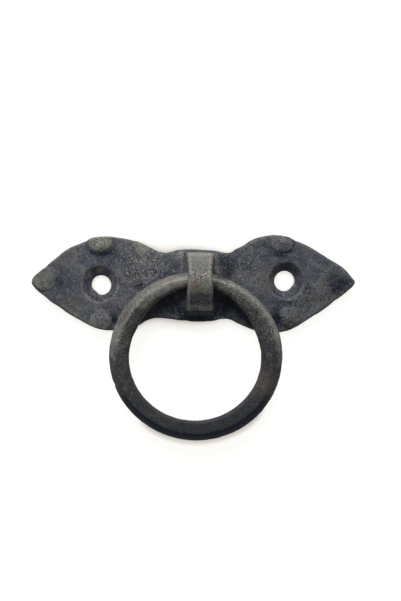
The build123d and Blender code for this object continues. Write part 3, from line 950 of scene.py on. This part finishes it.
# Zones of the bar, as where each begins and is full. Its top, bottom and upper part go by height
# round the ring, from -1 to 1. The outer and inner slopes go by millimetres past the crest line.
# The rest go by how far the skin faces the front, outwards or inwards, from -1 to 1.
TOP = (0.0, 0.85)
BOTTOM = (0.35, 0.8)
UPPER_PART = (-0.45, 0.1)
OUTER_SLOPE = (-1.2, 0.1)
INNER_SLOPE = (0.9, 2.2)
FACING_FRONT = (0.0, 0.5)
FACING_OUT = (0.1, 0.5)
FACING_IN = (0.0, 0.6)
OFF_THE_BACK = (-0.75, -0.15)

# What makes up the bar's tone: the rub along its top, less on both slopes and more on the crest,
# where it is also a painted highlight, the painted sheen of its outer slope, and the soot and
# painted shade below, on the slope that faces down
RING_DULLNESS = 0.05
TOP_RUB = 0.58
OUTER_SLOPE_LOSES = 0.15
INNER_SLOPE_LOSES = 0.25
CREST_RUB_AND_HIGHLIGHT = 0.65
OUTER_SHEEN = 0.32
BOTTOM_SOOT_AND_SHADE = 2.1

# How specked, warm and calm it is in its zones
RING_SPECKS = 0.1
CREST_SPECKS = 0.8
RING_TINT = 1.2
OUTER_SLOPE_COLDER = 0.4
BOTTOM_COLD = 0.3
BOTTOM_CALM = 0.4

# Places on the ring as x, z, radius and strength, which for nicks is their depth
RING_NICKS = {
    "nick_in_left_edge": (-18.6, -24.6, 0.6, 0.22),
    "pit_in_left_side": (-16.3, -24.9, 0.6, 0.25),
}
RING_SPECKLED = {
    "right_side": (18.0, -12.0, 9.0, 0.35),
    "top_left": (-9.0, -2.0, 6.0, 0.5),
    "top_right": (10.0, -2.5, 5.0, 0.5),
    "left_side": (-18.0, -12.0, 5.0, 0.4),
}
RING_RUSTY = {"lower_right": (16.5, -23.5, 3.0, 0.25)}
# Stains and rubs, among them painted light and shade: paler above 0 and darker below it
RING_TONE_SPOTS_WITH_PAINTED_LIGHT = {
    "left_side": (-19.4, -13.5, 4.5, 0.5),
    "top_left": (-15.5, -5.5, 4.0, 0.1),
    "outer_top_left": (-11.5, -1.8, 2.6, 0.1),
    "outer_right": (18.5, -8.6, 3.0, 0.35),
    "right_side": (20.4, -16.5, 4.5, 0.3),
    "outer_left": (-19.8, -17.0, 3.0, 0.15),
    # Painted light on the top's inner slope, which faces away from the lamp
    "top_left_inside": (-6.0, -2.4, 3.0, 0.3),
    "top_right_inside": (8.0, -2.4, 3.0, 0.05),
    "left_of_strap": (-2.4, -0.8, 1.3, 0.7),
    # Painted shadow of the strap on the ring
    "right_of_strap": (6.2, 0.0, 1.3, -0.3),
    "right_inside": (14.5, -11.0, 3.5, -0.3),
    "lower_right": (16.0, -24.0, 3.5, 0.25),
    "outer_right_edge": (20.4, -12.2, 2.4, 0.6),
    "left_side_inside": (-15.4, -21.8, 2.4, 0.3),
    "top_left_slope": (-12.7, -7.8, 2.2, -0.5),
    "left_slope": (-14.4, -11.0, 2.0, -0.4),
    "top_right_slope": (13.2, -7.6, 2.0, -0.3),
    "left_shoulder": (-18.4, -11.4, 2.6, 0.15),
    "outer_top_right": (7.0, 1.6, 2.0, -0.4),
}

ring_finish = blackened_iron(
    "blackened_ring",
    black=(0.023, 0.024, 0.027, 1),
    grey=(0.044, 0.045, 0.046, 1),
    warm=(0.045, 0.042, 0.038, 1),
    cold=(0.022, 0.025, 0.032, 1),
    rubbed_and_lit=(0.174, 0.167, 0.146, 1),
    shine=0.52,
)
shape = even_skin("ring", SKIN_GRID, RING_SOFTENING)
inner_top = []
for vertex in shape.verts:
    out = vertex.co - RING_MIDDLE
    if out.z > RING_TOP_FROM and math.hypot(out.x, out.z) < RING_TOP_WITHIN:
        inner_top.append(vertex)
soften(shape, inner_top, RING_TOP_SOFTENING)
shape.normal_update()
mark_edges(shape)
tone, speckle, rust, tint, calm = (shape.verts.layers.float.new(mark) for mark in SKIN_MARKS)
moves = []
for vertex in shape.verts:
    x, z = vertex.co.x / MM, vertex.co.z / MM
    out = vertex.co - RING_MIDDLE
    out.y = 0
    radius = out.length
    out.normalize()
    slope = out.dot(vertex.normal)
    clock = math.degrees(math.atan2(out.x, out.z)) % 360
    to_front = -vertex.normal.y
    top = blend_in(out.z, *TOP)
    bottom = blend_in(-out.z, *BOTTOM)
    past_crest = radius / MM - along(clock, RING_CRESTS)
    crest = band(past_crest, 0.0, RING_CREST_WIDTH) * blend_in(to_front, *FACING_FRONT)
    outer = blend_in(past_crest, *OUTER_SLOPE)
    inner = blend_in(-past_crest, *INNER_SLOPE)
    # The top's rub holds the crest's painted highlight, the outer slope's paleness is painted
    # sheen, and soot and painted shade darken the bottom where it faces down
    top_rub = TOP_RUB - OUTER_SLOPE_LOSES * outer - INNER_SLOPE_LOSES * inner + CREST_RUB_AND_HIGHLIGHT * crest
    level = top * top_rub - RING_DULLNESS
    level += OUTER_SHEEN * outer * blend_in(out.z, *UPPER_PART)
    level -= BOTTOM_SOOT_AND_SHADE * bottom * blend_in(slope, *FACING_OUT)
    specks = RING_SPECKS * (1 - bottom) + spots(x, z, RING_SPECKLED) + CREST_SPECKS * top * crest
    vertex[tone] = level + spots(x, z, RING_TONE_SPOTS_WITH_PAINTED_LIGHT)
    vertex[speckle] = specks
    vertex[rust] = spots(x, z, RING_RUSTY)
    vertex[tint] = (RING_TINT - OUTER_SLOPE_COLDER * outer) * (1 - bottom) - BOTTOM_COLD * bottom
    vertex[calm] = BOTTOM_CALM * bottom
    inward = along(clock, RING_INNER) * blend_in(-slope, *FACING_IN)
    swell = along(clock, RING_SWELLS) * blend_in(to_front, *OFF_THE_BACK) - spots(x, z, RING_NICKS)
    moves.append((vertex.normal * swell - out * inward) * MM)
for vertex, move in zip(shape.verts, moves):
    vertex.co += move
shape.normal_update()
roughen(shape, lambda vertex: RING_DENTS)
to_object(shape, "ring_casting", "pull_ring", "ring", ring_finish)
